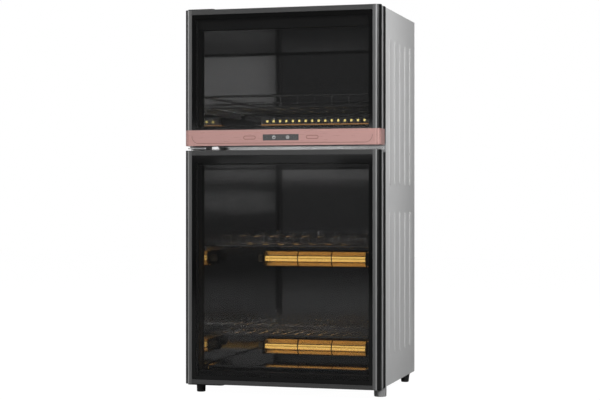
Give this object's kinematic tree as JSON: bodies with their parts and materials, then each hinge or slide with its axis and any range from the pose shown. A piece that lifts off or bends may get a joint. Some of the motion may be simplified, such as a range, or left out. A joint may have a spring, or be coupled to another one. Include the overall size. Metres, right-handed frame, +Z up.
{
  "type": "dish sterilizer cabinet",
  "caption": "Free-standing dish sterilizer cabinet: heated steel chambers with wire racks behind framed glass doors, and a key panel in a metallic band.",
  "frame": {"origin": "on the floor under the middle of the cabinet's whole box", "axes": "+X to the right seen from the front, +Y from the doors to the rear, +Z up"},
  "size_m": [0.431, 0.3754, 0.8247],
  "materials": {
    "panel_paint": "satin light grey paint",
    "galvanised": "dull zinc coat",
    "screw_steel": "bright zinc",
    "black_plastic": "fine grain",
    "beam_paint": "satin",
    "liner_steel": "mirror stainless",
    "hinge_steel": "satin",
    "hinge_black": "satin black",
    "quartz": "glowing quartz tube",
    "ceramic": "glazed ceramic",
    "bracket_steel": "dark steel",
    "reflector_gold": "gold-coated reflector, lit by its tube",
    "wire_steel": "polished wire",
    "tinted_glass": "grey tint, black border",
    "clear_glass": "clear",
    "dark_rail": "dark grey anodised",
    "frame_plastic": "light grey",
    "gasket_rubber": "soft black",
    "bush_nylon": "natural nylon",
    "rose_band": "rose gold, fine satin",
    "display_black": "dark grey gloss",
    "circuit_board": "green solder mask"
  },
  "bodies": {
    "cabinet": {"side_panel_left": "panel_paint", "side_panel_right": "panel_paint", "top_panel": "panel_paint", "base_pan": "panel_paint", "feet": "black_plastic", "rear_cover": "galvanised", "rear_screws": "screw_steel", "cord_gland": "black_plastic", "front_frame_lower": "black_plastic", "front_frame_upper": "black_plastic", "catch_magnets": "screw_steel", "cross_beam": "beam_paint", "lower_liner": "liner_steel", "upper_liner": "liner_steel", "hinge_plate_top": "hinge_black", "hinge_plate_bottom": "hinge_black", "hinge_bracket_middle": "hinge_steel", "hinge_pins": "screw_steel", "rack_rails": "liner_steel", "heater_tubes": "quartz", "heater_caps": "ceramic", "heater_brackets": "bracket_steel", "heater_guards": "wire_steel", "heater_reflectors": "reflector_gold", "vent_strip": "liner_steel", "strip_heater": "quartz", "power_board": "circuit_board", "thermostats": "black_plastic"},
    "upper_door": {"upper_glass": "tinted_glass", "upper_inner_glass": "clear_glass", "upper_rail_left": "dark_rail", "upper_rail_right": "dark_rail", "upper_top_rail": "dark_rail", "upper_corner_caps": "black_plastic", "upper_inner_frame": "frame_plastic", "upper_gasket": "gasket_rubber", "upper_strike": "screw_steel", "upper_bushes": "bush_nylon", "band": "rose_band", "display_lens": "display_black", "control_board": "circuit_board"},
    "lower_door": {"lower_glass": "tinted_glass", "lower_inner_glass": "clear_glass", "lower_rail_left": "dark_rail", "lower_rail_right": "dark_rail", "lower_top_rail": "dark_rail", "lower_corner_caps": "black_plastic", "lower_inner_frame": "frame_plastic", "lower_gasket": "gasket_rubber", "lower_strike": "screw_steel", "lower_bushes": "bush_nylon", "lower_bottom_rail": "dark_rail"},
    "left_key": {"left_key": "display_black"},
    "right_key": {"right_key": "display_black"},
    "basket": {"basket": "wire_steel"},
    "middle_rack": {"middle_rack_frame": "wire_steel", "middle_rack_dividers": "wire_steel"},
    "lower_rack": {"lower_rack_frame": "wire_steel", "lower_rack_dividers": "wire_steel"},
    "drip_tray": {"drip_tray": "liner_steel"}
  },
  "joints": [
    {"name": "upper_door_hinge", "type": "hinge", "parent": "cabinet", "child": "upper_door", "pos_m": [-0.204, -0.16775, 0.6762], "axis": [0, 0, -1], "range_deg": [0, 110]},
    {"name": "lower_door_hinge", "type": "hinge", "parent": "cabinet", "child": "lower_door", "pos_m": [-0.204, -0.16775, 0.27065], "axis": [0, 0, -1], "range_deg": [0, 110]},
    {"name": "left_key_press", "type": "slide", "parent": "upper_door", "child": "left_key", "axis": [0, 1, 0], "range_m": [0, 0.0008], "stiffness_N_per_m": 400},
    {"name": "right_key_press", "type": "slide", "parent": "upper_door", "child": "right_key", "axis": [0, 1, 0], "range_m": [0, 0.0008], "stiffness_N_per_m": 400},
    {"name": "basket_slide", "type": "slide", "parent": "cabinet", "child": "basket", "axis": [0, -1, 0], "range_m": [0, 0.016]},
    {"name": "middle_rack_slide", "type": "slide", "parent": "cabinet", "child": "middle_rack", "axis": [0, -1, 0], "range_m": [0, 0.016]},
    {"name": "lower_rack_slide", "type": "slide", "parent": "cabinet", "child": "lower_rack", "axis": [0, -1, 0], "range_m": [0, 0.016]},
    {"name": "drip_tray_slide", "type": "slide", "parent": "cabinet", "child": "drip_tray", "axis": [0, -1, 0], "range_m": [0, 0.016]}
  ]
}
